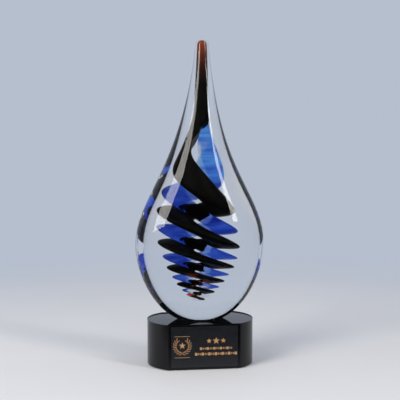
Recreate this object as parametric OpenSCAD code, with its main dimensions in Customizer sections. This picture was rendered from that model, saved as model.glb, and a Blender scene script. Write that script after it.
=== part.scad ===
// Crystal teardrop award: an oval clear-glass drop with a twisted black and
// blue glass core, glued on a black glass block that carries an engraved plate.
// Units are millimetres, +Z is up, the engraved front looks towards -Y.

/* [Drop] */
// height of the glass drop above its glue film
drop_h = 257.9; // [200:1:320]
// width of the drop at its belly
drop_w = 119.8; // [90:1:150]
// thickness of the drop at its belly, as a share of its width
drop_oval = 0.50; // [0.42:0.01:0.8]
// height of the belly, as a share of the drop height
belly_at = 0.261; // [0.2:0.005:0.35]
// radius of the drop just under its tip
tip_r = 6.0; // [4:0.1:9]

/* [Twisted core] */
// largest radius of the twisted core
core_r = 36; // [26:0.5:40]
// core depth at the belly, as a share of its width
core_oval = 0.6; // [0.4:0.01:0.7]
// height of the core's widest turn over the drop's foot, share of drop height
core_mid = 0.27; // [0.24:0.005:0.32]
// height of the core's lower end over the drop's foot, share of drop height
core_low = 0.0615; // [0.05:0.005:0.1]
// number of half turns that the core makes in its lower, tight part
half_turns = 9.7; // [6:0.1:11]
// how far the turns lean to one side, as a slope
lean = 0.26; // [0:0.01:0.3]
// how far the core stands to the left of the drop's axis
core_shift = 2.2; // [0:0.1:3]
// how far the drop's tip stands to the right of its foot
tip_shift = 1.8; // [0:0.1:3]
// black ribbon's angle ahead of its crest, in degrees
black_lead = 74; // [30:1:78]
// black ribbon's angle behind its crest, in degrees
black_trail = 66; // [30:1:78]
// blue ribbon's angle ahead of its crest, in degrees
blue_lead = 70; // [30:1:78]
// blue ribbon's angle behind its crest, in degrees
blue_trail = 76; // [30:1:78]
// radius of the amber stem at its top
stem_r = 3.0; // [2:0.1:4]
// height where the black ribbon gives way to the amber stem, share of height
stem_at = 0.845; // [0.78:0.005:0.9]
// clear glass between the amber stem's end and the tip
stem_cover = 3; // [1.5:0.1:5]

/* [Base] */
// width of the black base block
base_w = 98.5; // [80:1:130]
// depth of the black base block
base_d = 60; // [50:1:80]
// height of the black base block
base_h = 41; // [25:1:60]
// width of the flat front between the rounded ends
flat_w = 66; // [50:1:80]
// thickness of the felt under the base
felt_t = 1; // [0.8:0.1:3]
// felt's distance inside the base's edge
felt_inset = 2.5; // [1:0.1:6]
// thickness of the clear glue film between the drop and the base
glue_t = 0.1; // [0.05:0.01:0.4]

/* [Plate] */
// plate's margin to the sides of the flat front
plate_side = 2.5; // [1:0.1:8]
// plate's margin to the top and bottom of the front
plate_edge = 1.8; // [1:0.1:8]
// thickness of the engraved plate
plate_t = 0.8; // [0.5:0.1:2]
// thickness of the adhesive tape behind the plate
tape_t = 0.2; // [0.1:0.05:0.6]
// tape's distance inside the plate's edge
tape_inset = 1; // [0.5:0.1:4]

/* [Hidden] */
around = 48;          // points round the drop
turn_step = 0.145;    // half turns from one ribbon section to the next
belly_z = drop_h * belly_at;
belly_r = drop_w / 2;
low_z = drop_h * core_low;
mid_z = drop_h * core_mid;
neck_z = drop_h * 0.78;      // where the core has thinned to its stem
slow_z = drop_h * 0.385;     // above this the core twists slowly
wind = 5.63 * half_turns / 9.7;
wind_a = low_z * 0.975;      // the winding law's offset
lift = 2.3;                  // raises the turns a little over the law
slow_h = 0.308;
slow_rate = wind / (slow_z - low_z + wind_a);
slow_turns = 1.7;            // what the slow part can turn at most
shut_at = 15;                // angle at which the blue ribbon starts
foot_z = felt_t + base_h + glue_t;
split_z = drop_h * stem_at;
open_z = drop_h * 0.610;     // the blue ribbon is full below this
close_z = drop_h * 0.745;    // and starts here
end_r = (pow(flat_end(), 2) + pow(base_d / 2, 2)) / (2 * flat_end());

function flat_end() = (base_w - flat_w) / 2;
function clamp(x) = max(0, min(1, x));
function smooth(x) = let (c = clamp(x)) c * c * (3 - 2 * c);
function mix(a, b, t) = a + (b - a) * t;
function bez(a, b, c, d, t) = pow(1 - t, 3) * a + 3 * pow(1 - t, 2) * t * b
    + 3 * (1 - t) * t * t * c + t * t * t * d;

// drop outline: [radius, height] pairs from the foot to the tip
foot_u = belly_z / (belly_z * 1.065);
low_side = [for (i = [0:13]) let (u = foot_u * (1 - pow(i / 14, 1.35)))
    [belly_r * pow(1 - pow(u, 1.65), 0.44), belly_z * (1 - u / foot_u)]];
tip_z = drop_h - tip_r * 0.9;
high_side = [for (i = [0:24]) let (t = i / 24)
    [bez(belly_r, belly_r, belly_r * 0.3, tip_r, t),
     bez(belly_z, mix(belly_z, drop_h, 0.26), mix(belly_z, drop_h, 0.334), tip_z, t)]];
dome = [for (a = [22, 44, 64, 80]) [tip_r * cos(a), tip_z + tip_r * 0.9 * sin(a)]];
outline = concat(low_side, high_side, dome);
function oval(z) = mix(drop_oval, 1, smooth((z - belly_z * 0.9) / (drop_h * 0.93 - belly_z)));

// core: how far it has turned at a height, in half turns, and its radius there
function turned(z) = z < slow_z
    ? slow_h + wind * ln((slow_z - low_z + wind_a) / (z - low_z + wind_a))
    : slow_h - slow_turns * (1 - exp(-slow_rate * (z - slow_z) / slow_turns));
function height_at(h) = low_z - wind_a + (slow_z - low_z + wind_a) * exp((slow_h - h) / wind);
function core_radius(z) = z < mid_z
    ? core_r * pow(max(0.004, 1 - pow((mid_z - z) / (mid_z - low_z), 1.5)), 0.7)
    : z < neck_z ? mix(stem_r * 1.53, core_r, 0.5 + 0.5 * cos(180 * (z - mid_z) / (neck_z - mid_z)))
    : mix(stem_r * 1.53, stem_r, (z - neck_z) / (drop_h - neck_z));
function core_squash(z) = mix(core_oval, 1, smooth((z - mid_z) / (neck_z * 0.9 - mid_z)));
function slope(z) = lean * mix(0.3, 1, smooth((z - low_z * 1.5) / (drop_h * 0.22)))
    * (1 - smooth((z - slow_z) / 60));
function axis_x(z) = tip_shift * smooth((z - drop_h * 0.55) / (drop_h * 0.42));
function core_x(z) = axis_x(z) - core_shift * (1 - smooth((z - drop_h * 0.35) / (drop_h * 0.38)));
function shut(z) = smooth((z - open_z) / (close_z - open_z));
function wide(z) = smooth((z - slow_z) / (drop_h * 0.19));
function heal(z) = smooth((z - close_z * 0.99) / (drop_h * 0.03));
function edge_r(z) = core_radius(z) * 0.35;
function blue_ahead(z) = blue_lead * mix(1, 1.48, wide(z));
function blue_behind(z) = blue_trail * mix(1, 1.25, wide(z));
function fin(f, p) = pow(max(0, cos(90 * min(1, abs(f)))), p);
function place(r, a, z) = let (x = r * cos(a), y = r * sin(a) * core_squash(z))
    [x + core_x(z), y, foot_z + z + lift * (1 - shut(z)) - slope(z) * x];
// the black ribbon widens upwards until it closes behind the blue ribbon's start
function lead_at(z) = mix(black_lead,
    167 + shut_at - (1 - shut(z)) * (blue_behind(z) + shut_at), wide(z));
function trail_at(z) = mix(black_trail * mix(1, 0.85, wide(z)),
    172 - shut_at - (1 - shut(z)) * (blue_ahead(z) - shut_at), pow(shut(z), 1.5));
function pull(gap) = 0.75 * smooth((230 - gap) / 60);

// one section of the dark core: a round lobe with its crest at angle 0 and a
// flat inner side, which turns into a closing notch higher up
steps = [0, 0.25, 0.5, 0.75, 0.92, 1];
function dark_ring(z) = let (c = 180 * turned(z), r = core_radius(z), e = edge_r(z),
                             l = lead_at(z), t = trail_at(z), p = 0.3 * (1 - wide(z)),
                             first = place(max(e, r * fin(0.999, p)), c + l, z),
                             last = place(max(e, r * fin(0.999, p)), c - t, z),
                             centre = place(0, 0, z), gap = 360 - l - t)
    concat([for (f = steps) place(max(e, r * fin(f * 0.999, p)), c + f * l, z)],
           [for (i = [1:4]) mix(mix(mix(first, last, i / 5), centre, pull(gap)),
                                place(r, c + l + gap * i / 5, z), heal(z))],
           [for (i = [5:-1:1]) place(max(e, r * fin(steps[i] * 0.999, p)), c - steps[i] * t, z)]);

// one section of the blue ribbon, opposite to the black one and clear of it
blue_out = [-0.98, -0.87, -0.67, -0.45, -0.22, 0, 0.33, 0.62, 0.85, 0.98];
function blue_angle(f, z) = shut_at
    + (1 - shut(z)) * (f * (f < 0 ? blue_behind(z) : blue_ahead(z)) - shut_at);
function blue_ring(z) = let (c = 180 * turned(z) + 180, r = core_radius(z) * 0.98,
                             side = [for (f = blue_out)
                                 place(max(edge_r(z), r * fin(f, 0.45)), c + blue_angle(f, z), z)])
    concat(side, [for (i = [1:4]) mix(side[9], side[0], i / 5)]);

fast = [for (h = [half_turns + 0.35:-turn_step:slow_h + 0.01]) height_at(h)];
blue_fast = [for (h = [half_turns + 0.6:-turn_step:slow_h + 0.01]) height_at(h)];
slow = [for (i = [0:14]) mix(slow_z, split_z, i / 14)];
blue_slow = [for (i = [0:9]) mix(slow_z, mix(open_z, close_z, 0.82), i / 9)];
stem = [for (i = [0:7]) mix(split_z, drop_h - stem_cover - tip_r * 0.5, i / 7)];
stem_end = [for (a = [30, 60]) [cos(a), drop_h - stem_cover - stem_r * (1 - sin(a))]];
last_ring = dark_ring(stem[7]);
dark_rings = [for (z = concat(fast, slow)) dark_ring(z)];
stem_rings = concat([for (z = stem) dark_ring(z)],
    [for (e = stem_end) [for (q = last_ring)
        [mix(axis_x(drop_h), q[0], e[0]), q[1] * e[0], foot_z + e[1]]]]);
blue_rings = [for (z = concat(blue_fast, blue_slow)) blue_ring(z)];

function mean(v) = [for (k = [0:2]) [for (p = v) p[k]] * [for (p = v) 1] / len(v)];

// solid through a list of sections that all have the same number of points
module loft(rings, low, high) {
    n = len(rings[0]);
    m = len(rings);
    pts = concat([for (r = rings) for (p = r) p], [low, high]);
    sides = [for (i = [0:m - 2]) for (j = [0:n - 1]) let (k = (j + 1) % n, a = i * n, b = a + n)
        each [[a + j, b + j, b + k], [a + j, b + k, a + k]]];
    ends = [for (j = [0:n - 1]) let (k = (j + 1) % n, t = (m - 1) * n)
        each [[n * m, j, k], [n * m + 1, t + k, t + j]]];
    polyhedron(points = pts, faces = concat(sides, ends), convexity = 12);
}

module dark_core() loft(dark_rings, mean(dark_rings[0]), mean(dark_rings[len(dark_rings) - 1]));

module blue_core() loft(blue_rings, mean(blue_rings[0]), mean(blue_rings[len(blue_rings) - 1]));

module crystal_drop() color("white", 0.3)
    loft([for (p = outline) [for (i = [0:around - 1]) let (a = 360 * i / around)
             [axis_x(p[1]) + p[0] * cos(a), p[0] * sin(a) * oval(p[1]), foot_z + p[1]]]],
         [0, 0, foot_z], [axis_x(drop_h), 0, foot_z + drop_h]);

module black_ribbon() color("black") dark_core();

module blue_ribbon() color("royalblue") blue_core();

module amber_stem() color("saddlebrown")
    loft(stem_rings, mean(stem_rings[0]), [axis_x(drop_h), 0, foot_z + drop_h - stem_cover]);

module glue_film() color("lightgrey", 0.4) translate([0, 0, felt_t + base_h])
    linear_extrude(glue_t) polygon([for (i = [0:around - 1]) let (a = 360 * i / around)
        [outline[0][0] * cos(a), outline[0][0] * sin(a) * oval(0)]]);

// plan of the base: a flat front and back with bowed ends, moved in by a margin
module base_plan(in) {
    off = base_w / 2 - end_r;
    intersection() {
        square([base_w, base_d - 2 * in], center = true);
        union() {
            for (side = [-1, 1]) translate([side * off, 0]) circle(end_r - in, $fn = 180);
            square([2 * abs(off) + 4, base_d + 2], center = true);
        }
    }
}

module base_block() color("black") translate([0, 0, felt_t]) linear_extrude(base_h) base_plan(0);

module felt_pad() color("dimgray") linear_extrude(felt_t) base_plan(felt_inset);

plate_size = [flat_w - 2 * plate_side, base_h - 2 * plate_edge];

module on_front(gap, size, t)
    translate([-size[0] / 2, -base_d / 2 - gap - t, felt_t + (base_h - size[1]) / 2])
    cube([size[0], t, size[1]]);

module engraved_plate() color("darkslategray") on_front(tape_t, plate_size, plate_t);

module plate_tape() color("gray")
    on_front(0, [plate_size[0] - 2 * tape_inset, plate_size[1] - 2 * tape_inset], tape_t);

crystal_drop();
black_ribbon();
blue_ribbon();
amber_stem();
glue_film();
base_block();
engraved_plate();
plate_tape();
felt_pad();
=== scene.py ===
import math
import random

import bpy
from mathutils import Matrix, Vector


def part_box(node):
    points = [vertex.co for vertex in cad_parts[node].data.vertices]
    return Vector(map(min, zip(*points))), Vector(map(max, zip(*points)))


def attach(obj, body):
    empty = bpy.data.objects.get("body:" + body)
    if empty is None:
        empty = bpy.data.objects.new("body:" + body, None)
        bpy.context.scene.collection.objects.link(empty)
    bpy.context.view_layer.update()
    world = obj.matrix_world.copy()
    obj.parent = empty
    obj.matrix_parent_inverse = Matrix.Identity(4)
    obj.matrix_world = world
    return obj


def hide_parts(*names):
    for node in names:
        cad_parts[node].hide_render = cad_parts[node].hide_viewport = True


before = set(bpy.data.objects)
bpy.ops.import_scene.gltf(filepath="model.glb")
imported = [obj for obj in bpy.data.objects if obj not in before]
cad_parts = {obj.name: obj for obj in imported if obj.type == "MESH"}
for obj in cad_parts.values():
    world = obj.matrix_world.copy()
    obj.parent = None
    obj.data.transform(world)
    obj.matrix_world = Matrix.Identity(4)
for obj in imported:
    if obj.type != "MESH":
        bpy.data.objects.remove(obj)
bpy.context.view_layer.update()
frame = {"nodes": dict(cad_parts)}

MM = 0.001
drop_lo, drop_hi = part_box("crystal_drop")
glue_lo, glue_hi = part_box("glue_film")
base_lo, base_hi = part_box("base_block")
plate_lo, plate_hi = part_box("engraved_plate")

# the drop, in millimetres over its foot
FOOT_Z = drop_lo.z / MM
DROP_H = (drop_hi.z - drop_lo.z) / MM
BELLY_R = (drop_hi.x - drop_lo.x) / 2 / MM
BELLY_Z = DROP_H * 0.261
# the glue film has the plan of the drop's foot, where the oval is at its flattest
DROP_OVAL = (glue_hi.y - glue_lo.y) / (glue_hi.x - glue_lo.x)
TIP_R = 6.0
TIP_DOME = TIP_R * 0.9

# the twisted core: the frame doesn't hold these values, so they repeat part.scad
CORE_R = 36.0
CORE_OVAL = 0.6
MID_Z = DROP_H * 0.27
LOW_Z = DROP_H * 0.0615
NECK_Z = DROP_H * 0.78
SLOW_Z = DROP_H * 0.385
WIND = 5.63
WIND_A = LOW_Z * 0.975
SLOW_H = 0.308
SLOW_TURNS = 1.7
HALF_TURNS = 9.7
LEAN = 0.26
LIFT = 2.3
CORE_SHIFT, TIP_SHIFT = 2.2, 1.8
BLACK_LEAD, BLACK_TRAIL = 74.0, 66.0
BLUE_LEAD, BLUE_TRAIL = 70.0, 76.0
SHUT_AT = 15.0
SHUT_LEAD, SHUT_TRAIL = 167.0, 172.0
NOTCH_GAP, NOTCH_FADE, NOTCH_DEPTH = 230.0, 60.0, 0.75
STEM_R = 3.0
NECK_R = STEM_R * 1.53
SPLIT_Z = DROP_H * 0.845
STEM_COVER = 3.0
OPEN_Z, CLOSE_Z = DROP_H * 0.610, DROP_H * 0.745

# how finely Blender's own pieces are made
DROP_SIDES = 144
WOUND_RINGS = 330

# the block and its plate; the width of the flat front repeats part.scad
FLAT_W = 66.0
BLOCK_EDGE = 0.8
PLATE_CORNER, PLATE_BEVEL = 0.6, 0.12
FILL_PROUD, FILL_DEEP = 0.03, 0.25


def mix(a, b, t):
    return a + (b - a) * t


def smooth(x):
    x = max(0.0, min(1.0, x))
    return x * x * (3 - 2 * x)


def cosd(a):
    return math.cos(math.radians(a))


def sind(a):
    return math.sin(math.radians(a))


def bez(a, b, c, d, t):
    return (1 - t) ** 3 * a + 3 * (1 - t) ** 2 * t * b + 3 * (1 - t) * t * t * c + t**3 * d


def spread(a, b, n):
    return [mix(a, b, i / (n - 1)) for i in range(n)]


# ---------------------------------------------------------------- shapes
def drop_outline():
    """Radius and height pairs of the drop from its foot to its tip."""
    foot_u = 1 / 1.065
    low = []
    for i in range(56):
        u = foot_u * (1 - (i / 56) ** 1.35)
        low.append((BELLY_R * (1 - u**1.65) ** 0.44, BELLY_Z * (1 - u / foot_u)))
    tip_z = DROP_H - TIP_DOME
    high = []
    for t in spread(0, 1, 110):
        high.append((
            bez(BELLY_R, BELLY_R, BELLY_R * 0.3, TIP_R, t),
            bez(BELLY_Z, mix(BELLY_Z, DROP_H, 0.26), mix(BELLY_Z, DROP_H, 0.334), tip_z, t),
        ))
    dome = [(TIP_R * cosd(a), tip_z + TIP_DOME * sind(a)) for a in range(6, 90, 6)]
    return low + high + dome


def oval(z):
    """How deep the drop is for its width: an oval that gets round up the neck."""
    return mix(DROP_OVAL, 1, smooth((z - BELLY_Z * 0.9) / (DROP_H * 0.93 - BELLY_Z)))


def turned(z):
    """Half turns of the core at a height, packed together low down and slowing above."""
    if z < SLOW_Z:
        return SLOW_H + WIND * math.log((SLOW_Z - LOW_Z + WIND_A) / (z - LOW_Z + WIND_A))
    rate = WIND / (SLOW_Z - LOW_Z + WIND_A)
    return SLOW_H - SLOW_TURNS * (1 - math.exp(-rate * (z - SLOW_Z) / SLOW_TURNS))


def height_at(h):
    """The height of a half turn, which is turned() the other way round, up to SLOW_Z."""
    return LOW_Z - WIND_A + (SLOW_Z - LOW_Z + WIND_A) * math.exp((SLOW_H - h) / WIND)


def core_radius(z):
    """A pointed lower end, the widest at MID_Z, and a long neck into the stem."""
    if z < MID_Z:
        return CORE_R * max(0.004, 1 - ((MID_Z - z) / (MID_Z - LOW_Z)) ** 1.5) ** 0.7
    if z < NECK_Z:
        return mix(NECK_R, CORE_R, 0.5 + 0.5 * cosd(180 * (z - MID_Z) / (NECK_Z - MID_Z)))
    return mix(NECK_R, STEM_R, (z - NECK_Z) / (DROP_H - NECK_Z))


def core_squash(z):
    return mix(CORE_OVAL, 1, smooth((z - MID_Z) / (NECK_Z * 0.9 - MID_Z)))


def slope(z):
    """How much a turn leans down to the right."""
    share = mix(0.3, 1, smooth((z - LOW_Z * 1.5) / (DROP_H * 0.22)))
    return LEAN * share * (1 - smooth((z - SLOW_Z) / 60))


def axis_x(z):
    """The drop's own axis, which leaves the middle towards the tip."""
    return TIP_SHIFT * smooth((z - DROP_H * 0.55) / (DROP_H * 0.42))


def core_x(z):
    return axis_x(z) - CORE_SHIFT * (1 - smooth((z - DROP_H * 0.35) / (DROP_H * 0.38)))


def shut(z):
    """0 where both lobes are open, 1 where the black one has closed."""
    return smooth((z - OPEN_Z) / (CLOSE_Z - OPEN_Z))


def edge_r(z):
    return core_radius(z) * 0.35


def wide(z):
    """0 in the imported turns, 1 where the lobes have spread."""
    return smooth((z - SLOW_Z) / (DROP_H * 0.19))


def heal(z):
    """0 below the closing, 1 where the black lobe is a round spine."""
    return smooth((z - CLOSE_Z * 0.99) / (DROP_H * 0.03))


def fin(f, power):
    """The reach of a lobe across its width, where f goes from -1 to 1."""
    return max(0.0, cosd(90 * min(1.0, abs(f)))) ** power


def place(r, a, z):
    """A point of the core from its radius, its angle and its height in the drop."""
    x, y = r * cosd(a), r * sind(a) * core_squash(z)
    return (x + core_x(z), y, FOOT_Z + z + LIFT * (1 - shut(z)) - slope(z) * x)


def blue_ahead(z):
    return BLUE_LEAD * mix(1, 1.48, wide(z))


def blue_behind(z):
    return BLUE_TRAIL * mix(1, 1.25, wide(z))


def lead_at(z):
    closing = SHUT_LEAD + SHUT_AT - (1 - shut(z)) * (blue_behind(z) + SHUT_AT)
    return mix(BLACK_LEAD, closing, wide(z))


def trail_at(z):
    closing = SHUT_TRAIL - SHUT_AT - (1 - shut(z)) * (blue_ahead(z) - SHUT_AT)
    return mix(BLACK_TRAIL * mix(1, 0.85, wide(z)), closing, shut(z) ** 1.5)


def blend(a, b, t):
    return tuple(mix(p, q, t) for p, q in zip(a, b))


STEPS = [0, 0.1, 0.2, 0.3, 0.4, 0.5, 0.6, 0.7, 0.8, 0.88, 0.94, 0.98, 1.0]
BLUE_OUT = [-0.99, -0.96, -0.9, -0.82, -0.72, -0.6, -0.48, -0.35, -0.2, -0.08,
            0, 0.12, 0.3, 0.48, 0.65, 0.8, 0.9, 0.96, 0.99]


def dark_ring(z):
    """A round lobe with a flat inner side, which is pulled in to a notch and heals higher up."""
    c, r, edge, lead, trail = 180 * turned(z), core_radius(z), edge_r(z), lead_at(z), trail_at(z)
    power, gap = 0.3 * (1 - wide(z)), 360 - lead - trail
    first = [place(max(edge, r * fin(f * 0.999, power)), c + f * lead, z) for f in STEPS]
    last = [place(max(edge, r * fin(f * 0.999, power)), c - f * trail, z) for f in STEPS[:0:-1]]
    inside = []
    for i in range(1, 14):
        chord = blend(first[-1], last[0], i / 14)
        notch = blend(chord, place(0, 0, z), NOTCH_DEPTH * smooth((NOTCH_GAP - gap) / NOTCH_FADE))
        inside.append(blend(notch, place(r, c + lead + gap * i / 14, z), heal(z)))
    return first + inside + last


def blue_angle(f, z):
    return SHUT_AT + (1 - shut(z)) * (f * (blue_behind(z) if f < 0 else blue_ahead(z)) - SHUT_AT)


def blue_ring(z):
    c, r = 180 * turned(z) + 180, core_radius(z) * 0.98
    side = [place(max(edge_r(z), r * fin(f, 0.45)), c + blue_angle(f, z), z) for f in BLUE_OUT]
    return side + [blend(side[-1], side[0], i / 9) for i in range(1, 9)]


def middle(ring):
    return tuple(sum(p[k] for p in ring) / len(ring) for k in range(3))


def new_mesh(name, verts, faces, smooth_shade=True):
    mesh = bpy.data.meshes.new(name)
    mesh.from_pydata([tuple(v * MM for v in p) for p in verts], [], faces)
    mesh.validate()
    mesh.update()
    for p in mesh.polygons:
        p.use_smooth = smooth_shade
    obj = bpy.data.objects.new(name, mesh)
    bpy.context.scene.collection.objects.link(obj)
    return obj


def loft(name, rings, low, high):
    """Closed solid through sections that have the same number of points."""
    n, m = len(rings[0]), len(rings)
    verts = [p for r in rings for p in r] + [low, high]
    faces = []
    for i in range(m - 1):
        for j in range(n):
            k, a, b = (j + 1) % n, i * n, (i + 1) * n
            faces.append((a + j, a + k, b + k, b + j))
    t = (m - 1) * n
    for j in range(n):
        k = (j + 1) % n
        faces.append((n * m, k, j))
        faces.append((n * m + 1, t + j, t + k))
    return new_mesh(name, verts, faces)


def finish_piece(obj, material, slot, *nodes):
    obj.data.materials.clear()
    obj.data.materials.append(material)
    if nodes:
        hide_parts(*nodes)
    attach(obj, "root")
    return obj


# ---------------------------------------------------------------- materials
def material(name):
    mat = bpy.data.materials.new(name)
    mat.use_nodes = True
    tree = mat.node_tree
    return mat, tree, tree.nodes["Principled BSDF"], tree.nodes["Material Output"]


def object_place(tree):
    return tree.nodes.new("ShaderNodeTexCoord").outputs["Object"]


def axis_of(tree, vector, axis):
    split = tree.nodes.new("ShaderNodeSeparateXYZ")
    tree.links.new(vector, split.inputs["Vector"])
    return split.outputs[axis]


def length_of(tree, vector):
    node = tree.nodes.new("ShaderNodeVectorMath")
    node.operation = "LENGTH"
    tree.links.new(vector, node.inputs[0])
    return node.outputs["Value"]


def maths(tree, operation, first, second=None, clamp=False):
    node = tree.nodes.new("ShaderNodeMath")
    node.operation = operation
    node.use_clamp = clamp
    tree.links.new(first, node.inputs[0])
    if second is not None:
        tree.links.new(second, node.inputs[1])
    return node.outputs["Value"]


def add_noise(tree, scale, detail=4.0, vector=None):
    if vector is None:
        vector = object_place(tree)
    noise = tree.nodes.new("ShaderNodeTexNoise")
    noise.inputs["Scale"].default_value = scale
    noise.inputs["Detail"].default_value = detail
    tree.links.new(vector, noise.inputs["Vector"])
    return noise


def add_ramp(tree, fac, stops):
    ramp = tree.nodes.new("ShaderNodeValToRGB")
    while len(ramp.color_ramp.elements) > 1:
        ramp.color_ramp.elements.remove(ramp.color_ramp.elements[-1])
    ramp.color_ramp.elements[0].position = stops[0][0]
    ramp.color_ramp.elements[0].color = (*stops[0][1], 1)
    for pos, col in stops[1:]:
        ramp.color_ramp.elements.new(pos).color = (*col, 1)
    tree.links.new(fac, ramp.inputs["Fac"])
    return ramp


def mottle(tree, shader, noise, stops):
    """Colours the surface by a noise, between the colours of a ramp."""
    ramp = add_ramp(tree, noise.outputs["Fac"], stops)
    tree.links.new(ramp.outputs["Color"], shader.inputs["Base Color"])


def add_bump(tree, shader, height, strength, distance):
    bump = tree.nodes.new("ShaderNodeBump")
    bump.inputs["Strength"].default_value = strength
    bump.inputs["Distance"].default_value = distance
    tree.links.new(height, bump.inputs["Height"])
    tree.links.new(bump.outputs["Normal"], shader.inputs["Normal"])


def rough_range(tree, shader, noise, low, high):
    span = tree.nodes.new("ShaderNodeMapRange")
    span.inputs["To Min"].default_value = low
    span.inputs["To Max"].default_value = high
    tree.links.new(noise.outputs["Fac"], span.inputs["Value"])
    tree.links.new(span.outputs["Result"], shader.inputs["Roughness"])


def map_range(tree, value, start, end, ease="SMOOTHSTEP"):
    """0 where the value is at start, 1 where it is at end."""
    node = tree.nodes.new("ShaderNodeMapRange")
    node.interpolation_type = ease
    node.inputs["From Min"].default_value = start
    node.inputs["From Max"].default_value = end
    tree.links.new(value, node.inputs["Value"])
    return node.outputs["Result"]


def mix_colours(tree, share, first, second):
    node = tree.nodes.new("ShaderNodeMix")
    node.data_type = "RGBA"
    tree.links.new(share, node.inputs[0])
    tree.links.new(first, node.inputs[6])
    if isinstance(second, tuple):
        node.inputs[7].default_value = second
    else:
        tree.links.new(second, node.inputs[7])
    return node.outputs[2]


def mix_shaders(tree, share, first, second):
    node = tree.nodes.new("ShaderNodeMixShader")
    tree.links.new(share, node.inputs["Fac"])
    tree.links.new(first, node.inputs[1])
    tree.links.new(second, node.inputs[2])
    return node.outputs["Shader"]


def lets_lamps_through(tree, shader, output, tint):
    """Glass that shadow rays pass straight through, with a tint."""
    path = tree.nodes.new("ShaderNodeLightPath")
    clear = tree.nodes.new("ShaderNodeBsdfTransparent")
    clear.inputs["Color"].default_value = (*tint, 1)
    whole = mix_shaders(
        tree, path.outputs["Is Shadow Ray"], shader.outputs["BSDF"], clear.outputs["BSDF"])
    tree.links.new(whole, output.inputs["Surface"])


def crystal_material():
    """Clear glass; its index is under that of real glass, which keeps the rims thin."""
    mat, tree, shader, output = material("clear_crystal")
    shader.inputs["Transmission Weight"].default_value = 1.0
    shader.inputs["IOR"].default_value = 1.4
    shader.inputs["Roughness"].default_value = 0.0
    mottle(tree, shader, add_noise(tree, 9.0, 2.0), [
        (0.3, (0.985, 0.99, 0.99)), (0.7, (0.965, 0.975, 0.98))])
    lets_lamps_through(tree, shader, output, (0.93, 0.94, 0.95))
    return mat


def black_core_material():
    """Black glass, with small red streaks in its lowest turns."""
    mat, tree, shader, _ = material("black_core_glass")
    noise = add_noise(tree, 60.0)
    black = add_ramp(tree, noise.outputs["Fac"], [
        (0.35, (0.0006, 0.0006, 0.0005)), (0.75, (0.003, 0.003, 0.002))])
    streaks = add_noise(tree, 110.0, 1.0)
    red = map_range(tree, streaks.outputs["Fac"], 0.60, 0.66)
    height = axis_of(tree, object_place(tree), "Z")
    low = map_range(tree, height, (FOOT_Z + 46) * MM, (FOOT_Z + 36) * MM)
    share = maths(tree, "MULTIPLY", red, low)
    colour = mix_colours(tree, share, black.outputs["Color"], (0.50, 0.07, 0.025, 1))
    tree.links.new(colour, shader.inputs["Base Color"])
    shader.inputs["Roughness"].default_value = 0.4
    shader.inputs["Specular IOR Level"].default_value = 0.02
    return mat


def blue_core_material():
    """Cobalt streaks, lighter in the high window, and a painted highlight of warm white by the axis
    up to 165 mm, for bright light seen between the lobes.
    """
    mat, tree, shader, output = material("cobalt_core_glass")
    shader.inputs["Transmission Weight"].default_value = 1.0
    shader.inputs["IOR"].default_value = 1.03
    shader.inputs["Roughness"].default_value = 0.0
    spot = object_place(tree)
    flat = tree.nodes.new("ShaderNodeMapping")
    flat.inputs["Scale"].default_value = (26, 26, 190)
    flat.inputs["Rotation"].default_value = (0, 0.2, 0)
    tree.links.new(spot, flat.inputs["Vector"])
    noise = add_noise(tree, 1.0, 2.0, flat.outputs["Vector"])
    deep = add_ramp(tree, noise.outputs["Fac"], [
        (0.38, (0.018, 0.04, 0.34)), (0.66, (0.10, 0.22, 0.74))])
    light = add_ramp(tree, noise.outputs["Fac"], [
        (0.35, (0.06, 0.20, 0.72)), (0.62, (0.24, 0.60, 0.98))])
    height = axis_of(tree, spot, "Z")
    high = map_range(tree, height, (FOOT_Z + 108) * MM, (FOOT_Z + 140) * MM)
    # painted highlight: warm white mixed into the blue near the axis, below 165 mm, standing in for
    # bright light seen through the gap between the lobes
    round_axis = tree.nodes.new("ShaderNodeMapping")
    round_axis.inputs["Location"].default_value = (CORE_SHIFT * MM, 0, 0)
    round_axis.inputs["Scale"].default_value = (1, 1.3, 0)
    tree.links.new(spot, round_axis.inputs["Vector"])
    near = map_range(tree, length_of(tree, round_axis.outputs["Vector"]), 0.012, 0.009)
    low = map_range(tree, height, (FOOT_Z + 165) * MM, (FOOT_Z + 158) * MM)
    blues = mix_colours(tree, high, deep.outputs["Color"], light.outputs["Color"])
    pale = maths(tree, "MULTIPLY", near, low)
    blues_with_painted_highlight = mix_colours(tree, pale, blues, (1.0, 0.96, 0.86, 1))
    tree.links.new(blues_with_painted_highlight, shader.inputs["Base Color"])
    soak = tree.nodes.new("ShaderNodeVolumeAbsorption")
    soak.inputs["Color"].default_value = (0.35, 0.55, 0.97, 1)
    soak.inputs["Density"].default_value = 40.0
    tree.links.new(soak.outputs["Volume"], output.inputs["Volume"])
    return mat


def amber_material():
    """Black where the stem begins, and amber towards the tip."""
    mat, tree, shader, _ = material("amber_core_glass")
    height = axis_of(tree, object_place(tree), "Z")
    up = map_range(tree, height, (FOOT_Z + SPLIT_Z) * MM, (FOOT_Z + DROP_H) * MM, "LINEAR")
    ramp = add_ramp(tree, up, [
        (0.0, (0.0008, 0.0007, 0.0006)), (0.3, (0.012, 0.003, 0.0018)),
        (0.6, (0.055, 0.010, 0.004)), (1.0, (0.16, 0.036, 0.011))])
    tree.links.new(ramp.outputs["Color"], shader.inputs["Base Color"])
    shader.inputs["Roughness"].default_value = 0.4
    shader.inputs["Specular IOR Level"].default_value = 0.04
    return mat


def bubble_material():
    """Air in glass: its index is 1 over that of real glass, which is about 1.5."""
    mat, tree, shader, _ = material("seed_bubble")
    mottle(tree, shader, add_noise(tree, 800.0), [
        (0.3, (0.95, 0.96, 1.0)), (0.8, (0.85, 0.9, 1.0))])
    shader.inputs["Transmission Weight"].default_value = 1.0
    shader.inputs["IOR"].default_value = 0.67
    shader.inputs["Roughness"].default_value = 0.0
    return mat


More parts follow.
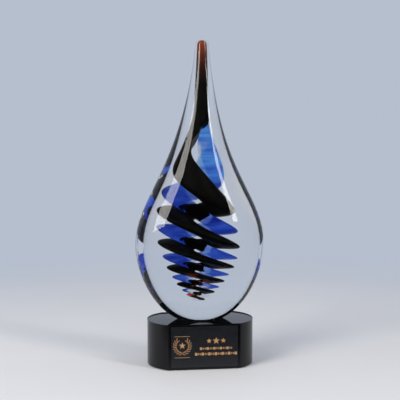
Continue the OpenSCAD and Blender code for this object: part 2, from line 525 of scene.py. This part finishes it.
def black_block_material():
    mat, tree, shader, _ = material("black_block_glass")
    noise = add_noise(tree, 45.0)
    mottle(tree, shader, noise, [
        (0.35, (0.0022, 0.0022, 0.0026)), (0.7, (0.0040, 0.0040, 0.0048))])
    rough_range(tree, shader, noise, 0.02, 0.06)
    shader.inputs["IOR"].default_value = 1.33
    fine = add_noise(tree, 25.0, 1.0)
    add_bump(tree, shader, fine.outputs["Fac"], 0.06, 0.0004)
    return mat


def plate_material():
    mat, tree, shader, _ = material("satin_black_plate")
    noise = add_noise(tree, 400.0, 6.0)
    mottle(tree, shader, noise, [
        (0.3, (0.003, 0.004, 0.006)), (0.75, (0.006, 0.008, 0.011))])
    rough_range(tree, shader, noise, 0.30, 0.42)
    add_bump(tree, shader, noise.outputs["Fac"], 0.12, 0.00005)
    return mat


def gold_material():
    mat, tree, shader, _ = material("gold_engraving")
    noise = add_noise(tree, 900.0, 5.0)
    mottle(tree, shader, noise, [(0.3, (0.54, 0.29, 0.13)), (0.75, (0.74, 0.43, 0.21))])
    shader.inputs["Metallic"].default_value = 0.55
    rough_range(tree, shader, noise, 0.32, 0.48)
    return mat


def plain_material(name, dark, light, scale, rough, bump=0.0):
    mat, tree, shader, _ = material(name)
    noise = add_noise(tree, scale)
    mottle(tree, shader, noise, [(0.3, dark), (0.75, light)])
    shader.inputs["Roughness"].default_value = rough
    if bump:
        add_bump(tree, shader, noise.outputs["Fac"], bump, 0.0003)
    return mat


# ---------------------------------------------------------------- the glass
def build_drop():
    turns = [(cosd(360 * i / DROP_SIDES), sind(360 * i / DROP_SIDES)) for i in range(DROP_SIDES)]
    rings = [[(axis_x(z) + r * c, r * s * oval(z), FOOT_Z + z) for c, s in turns]
             for r, z in drop_outline()]
    obj = loft("crystal_drop_glass", rings, (0, 0, FOOT_Z), (axis_x(DROP_H), 0, FOOT_Z + DROP_H))
    for p in obj.data.polygons:
        if len(p.vertices) == 3 and p.normal.z < -0.99:
            p.use_smooth = False
    return finish_piece(obj, crystal_material(), "crystal_drop", "crystal_drop")


def build_core():
    low = [height_at(h) for h in spread(HALF_TURNS + 0.35, SLOW_H + 0.01, WOUND_RINGS)]
    high = spread(SLOW_Z, SPLIT_Z, 60)
    rings = [dark_ring(z) for z in low + high]
    black = loft("black_ribbon_glass", rings, middle(rings[0]), middle(rings[-1]))
    finish_piece(black, black_core_material(), "black_ribbon", "black_ribbon")
    low = [height_at(h) for h in spread(HALF_TURNS + 0.6, SLOW_H + 0.01, WOUND_RINGS)]
    rings = [blue_ring(z) for z in low + spread(SLOW_Z, mix(OPEN_Z, CLOSE_Z, 0.82), 50)]
    blue = loft("blue_ribbon_glass", rings, middle(rings[0]), middle(rings[-1]))
    finish_piece(blue, blue_core_material(), "blue_ribbon", "blue_ribbon")
    rings = [dark_ring(z) for z in spread(SPLIT_Z, DROP_H - STEM_COVER - TIP_R * 0.5, 24)]
    last = rings[-1]
    for a in (15, 30, 45, 60, 75):
        z = DROP_H - STEM_COVER - STEM_R * (1 - sind(a))
        rings.append([(mix(axis_x(DROP_H), x, cosd(a)), y * cosd(a), FOOT_Z + z) for x, y, _ in last])
    end = (axis_x(DROP_H), 0, FOOT_Z + DROP_H - STEM_COVER)
    stem = loft("amber_stem_glass", rings, middle(rings[0]), end)
    finish_piece(stem, amber_material(), "amber_stem", "amber_stem")


def ball(name, centre, r, n=20):
    x, y, z = centre
    turns = [360 * i / n for i in range(n)]
    rings = []
    for a in range(15, 180, 15):
        rings.append([
            (x + r * sind(a) * cosd(t), y + r * sind(a) * sind(t), z - r * cosd(a))
            for t in turns])
    return loft(name, rings, (x, y, z - r), (x, y, z + r))


def build_seeds():
    """Small bubbles that were trapped beside the core when it was cased."""
    rng = random.Random(7)
    finish_piece(ball("seed_bubble", (7, -25, FOOT_Z + 73), 0.45), bubble_material(), "crystal_drop")
    mat = bubble_material()
    for i in range(3):
        spot = (rng.uniform(-14, 14), rng.uniform(-12, -4), FOOT_Z + rng.uniform(9, 13))
        finish_piece(ball(f"seed_bubble_{i}", spot, 0.25, 12), mat, "crystal_drop")


# ---------------------------------------------------------------- the base
def plan(inset, n=22):
    w, d = (base_hi.x - base_lo.x) / MM, (base_hi.y - base_lo.y) / MM
    flat_end = (w - FLAT_W) / 2
    r = (flat_end**2 + (d / 2) ** 2) / (2 * flat_end)
    off, half = w / 2 - r, d / 2 - inset
    lim = math.degrees(math.asin(half / (r - inset)))
    right = [(off + (r - inset) * cosd(a), (r - inset) * sind(a)) for a in spread(-lim, lim, n)]
    return right + [(-x, -y) for x, y in right]


def build_base():
    z0, z1, e = base_lo.z / MM, base_hi.z / MM, BLOCK_EDGE
    rings = []
    for a in (0, 30, 60, 90):
        rings.append([(x, y, z0 + e * (1 - sind(a))) for x, y in plan(e * (1 - cosd(90 - a)))])
    for a in (90, 60, 30, 0):
        rings.append([(x, y, z1 - e * (1 - sind(a))) for x, y in plan(e * (1 - cosd(90 - a)))])
    obj = loft("base_block_glass", rings, (0, 0, z0), (0, 0, z1))
    obj.data.set_sharp_from_angle(angle=math.radians(25))
    return finish_piece(obj, black_block_material(), "base_block", "base_block")


def prism(pts, y0, y1, verts, faces):
    """Adds a flat closed shape that faces -Y; pts are x and z pairs, anticlockwise from the front."""
    s, n = len(verts), len(pts)
    verts += [(x, y0, z) for x, z in pts] + [(x, y1, z) for x, z in pts]
    faces.append(tuple(s + i for i in range(n)))
    faces.append(tuple(s + n + i for i in reversed(range(n))))
    for i in range(n):
        j = (i + 1) % n
        faces.append((s + j, s + i, s + n + i, s + n + j))


def star(cx, cz, r, points=5):
    pts = []
    for i in range(2 * points):
        reach = r if i % 2 == 0 else r * 0.42
        pts.append((cx + reach * sind(180 * i / points), cz + reach * cosd(180 * i / points)))
    return pts[::-1]


def leaf(cx, cz, length, width, turn):
    pts = []
    for i in range(16):
        t = 360 * i / 16
        u, v = length / 2 * cosd(t), width / 2 * sind(t) * (0.75 + 0.25 * cosd(2 * t))
        pts.append((cx + u * cosd(turn) - v * sind(turn), cz + u * sind(turn) + v * cosd(turn)))
    return pts


def bar(cx, cz, w, h):
    return [(cx - w / 2, cz - h / 2), (cx + w / 2, cz - h / 2),
            (cx + w / 2, cz + h / 2), (cx - w / 2, cz + h / 2)]


def engraved_shapes():
    """A wreath round a star between two thin rules, and three stars over two beaded rules."""
    shapes = []
    cx, cz, r = -20.5, 1.2, 6.9
    for side in (-1, 1):
        for i in range(8):
            a = -78 + i * 18.5
            for out, tilt in ((1.0, 38), (-1.0, -30)):
                rr = r + out * 0.95
                x, z = cx + side * rr * cosd(a), cz + rr * sind(a)
                turn = a + 90 - tilt
                shapes.append(leaf(x, z, 2.7, 1.05, turn if side > 0 else 180 - turn))
    shapes.append(star(cx, cz + 0.3, 3.3))
    right_x, gap = 10.5, 0.75
    for x, size in ((-6.5, 2.5), (0.0, 3.4), (6.5, 2.5)):
        shapes.append(star(right_x + x, 5.3, size))
    for z, half, h in ((-1.6, 15.0, 2.3), (-6.6, 19.5, 2.6)):
        x, k = right_x - half, 0
        while x < right_x + half - 0.6:
            w = (2.3, 0.75, 0.75)[k % 3]
            shapes.append(bar(x + w / 2, z, w, h if w > 1 else h * 0.7))
            x, k = x + w + gap, k + 1
    for z in (10.0, -9.4):
        shapes.append(bar(cx, z, 14.0, 0.35))
    return shapes


def rounded_slab(name, lo, hi, corner, n=6):
    pts = []
    w, h = (hi.x - lo.x) / MM / 2 - corner, (hi.z - lo.z) / MM / 2 - corner
    mid = (lo.z + hi.z) / 2 / MM
    for k, (sx, sz) in enumerate(((1, -1), (1, 1), (-1, 1), (-1, -1))):
        for a in spread(-90 + 90 * k, 90 * k, n):
            pts.append((sx * w + corner * cosd(a), mid + sz * h + corner * sind(a)))
    verts, faces = [], []
    prism(pts, lo.y / MM, hi.y / MM, verts, faces)
    return new_mesh(name, verts, faces, False)


def build_plate():
    slab = rounded_slab("engraved_plate_metal", plate_lo, plate_hi, PLATE_CORNER)
    edge = slab.modifiers.new("edge", "BEVEL")
    edge.width, edge.segments = PLATE_BEVEL * MM, 2
    finish_piece(slab, plate_material(), "engraved_plate", "engraved_plate")
    verts, faces = [], []
    front, mid = plate_lo.y / MM, (plate_lo.z + plate_hi.z) / 2 / MM
    for pts in engraved_shapes():
        moved = [(x, mid + z) for x, z in pts]
        prism(moved, front - FILL_PROUD, front + FILL_DEEP, verts, faces)
    fill = new_mesh("gold_engraving_fill", verts, faces, False)
    finish_piece(fill, gold_material(), "engraved_plate")


def build_rest():
    """The pieces that keep their CAD shape."""
    nodes = frame["nodes"]
    glue = crystal_material()
    glue.name = "clear_glue"
    tape = plain_material("tape_grey", (0.3, 0.3, 0.3), (0.4, 0.4, 0.4), 300, 0.6)
    felt = plain_material("black_felt", (0.006, 0.006, 0.006), (0.03, 0.03, 0.032), 1500, 0.95, 0.6)
    for name, mat in (("glue_film", glue), ("plate_tape", tape), ("felt_pad", felt)):
        nodes[name].data.materials.clear()
        nodes[name].data.materials.append(mat)


# ---------------------------------------------------------------- the studio
PALE = (0.47, 0.52, 0.62)
DARK_ROOM = (0.03, 0.03, 0.03)
STRIP = (0.07, 0.058, 0.036)
# the strips' edges, in degrees from straight behind the object, and how far they fade
STRIP_FROM, STRIP_TO, STRIP_FADE = 72.5, 76.5, 2.0
WARM = (1.0, 0.95, 0.9)
LAMP_AWAY, LAMP_Z, LAMP_TALL, LAMP_AIM_Z = 1.25, 0.75, 1.3, 0.16


def mirror_rays(tree):
    """1 for what is seen mirrored, 0 for what is seen directly or through glass."""
    path = tree.nodes.new("ShaderNodeLightPath")
    return maths(
        tree, "SUBTRACT", path.outputs["Is Glossy Ray"], path.outputs["Is Transmission Ray"], True)


def glow(tree, colour):
    node = tree.nodes.new("ShaderNodeEmission")
    node.inputs["Color"].default_value = (*colour, 1)
    return node.outputs["Emission"]


def floor_material():
    """Pale by the object, the backdrop's colour further out, and dark in front when mirrored."""
    mat, tree, shader, output = material("pale_floor")
    mottle(tree, shader, add_noise(tree, 3.0), [
        (0.3, (0.62, 0.62, 0.62)), (0.75, (0.68, 0.68, 0.68))])
    shader.inputs["Roughness"].default_value = 0.7
    spot = object_place(tree)
    far = map_range(tree, length_of(tree, spot), 0.22, 0.75)
    seen = mix_shaders(tree, far, shader.outputs["BSDF"], glow(tree, PALE))
    front = map_range(tree, axis_of(tree, spot, "Y"), -0.03, -0.12, "LINEAR")
    mirrored = maths(tree, "MULTIPLY", front, mirror_rays(tree))
    whole = mix_shaders(tree, mirrored, seen, glow(tree, DARK_ROOM))
    tree.links.new(whole, output.inputs["Surface"])
    return mat


def build_floor():
    n, r = 96, 6.0
    verts = [(0, 0, 0)] + [(r * cosd(360 * i / n), r * sind(360 * i / n), 0) for i in range(n)]
    mesh = bpy.data.meshes.new("floor")
    mesh.from_pydata(verts, [], [(0, i + 1, (i + 1) % n + 1) for i in range(n)])
    floor = bpy.data.objects.new("floor", mesh)
    bpy.context.scene.collection.objects.link(floor)
    floor.data.materials.append(floor_material())


def build_world():
    """A pale room with a narrow dark strip at each side, and dark in front when mirrored."""
    world = bpy.data.worlds.new("studio")
    bpy.context.scene.world = world
    world.use_nodes = True
    tree = world.node_tree
    back = tree.nodes["Background"]
    way = tree.nodes.new("ShaderNodeTexCoord").outputs["Generated"]
    y = axis_of(tree, way, "Y")
    turn = maths(tree, "ABSOLUTE", maths(tree, "ARCTAN2", axis_of(tree, way, "X"), y))
    half_turn = map_range(tree, turn, 0.0, math.pi, "LINEAR")
    sides = add_ramp(tree, half_turn, [
        (0.0, PALE), ((STRIP_FROM - STRIP_FADE) / 180, PALE),
        (STRIP_FROM / 180, STRIP), (STRIP_TO / 180, STRIP),
        ((STRIP_TO + STRIP_FADE) / 180, PALE), (1.0, PALE)])
    front = map_range(tree, y, 0.15, -0.15, "LINEAR")
    mirrored = maths(tree, "MULTIPLY", front, mirror_rays(tree))
    room = mix_colours(tree, mirrored, sides.outputs["Color"], (*DARK_ROOM, 1))
    tree.links.new(room, back.inputs["Color"])
    back.inputs["Strength"].default_value = 1.0


def add_softbox(name, azimuth, width, power):
    """A tall warm lamp in front, which neither the camera nor a ray through glass sees."""
    data = bpy.data.lights.new(name, "AREA")
    data.shape, data.size, data.size_y = "RECTANGLE", width, LAMP_TALL
    data.energy, data.color = power, WARM
    lamp = bpy.data.objects.new(name, data)
    lamp.location = (LAMP_AWAY * sind(azimuth), -LAMP_AWAY * cosd(azimuth), LAMP_Z)
    lamp.visible_transmission = False
    lamp.visible_camera = False
    lamp.rotation_mode = "QUATERNION"
    aim = Vector((0, 0, LAMP_AIM_Z)) - lamp.location
    lamp.rotation_quaternion = aim.to_track_quat("-Z", "Y")
    bpy.context.scene.collection.objects.link(lamp)


def build_camera():
    """A long lens, a little left of the front and above the middle."""
    data = bpy.data.cameras.new("camera")
    data.lens, data.sensor_width, data.dof.use_dof = 99.0, 36.0, False
    cam = bpy.data.objects.new("camera", data)
    away, turn, height, aim_z = 1.01, -8.0, 0.25, 0.1522
    cam.location = (away * sind(turn), -away * cosd(turn), height)
    cam.rotation_mode = "QUATERNION"
    aim = Vector((0.0, 0.0, aim_z)) - cam.location
    cam.rotation_quaternion = aim.to_track_quat("-Z", "Y")
    bpy.context.scene.collection.objects.link(cam)
    bpy.context.scene.camera = cam


build_drop()
build_core()
build_seeds()
build_base()
build_plate()
build_rest()
build_floor()
build_world()
add_softbox("softbox_left", azimuth=-51, width=0.55, power=20)
add_softbox("softbox_right", azimuth=46, width=0.2, power=10)
build_camera()
bpy.context.scene.view_settings.view_transform = "Standard"
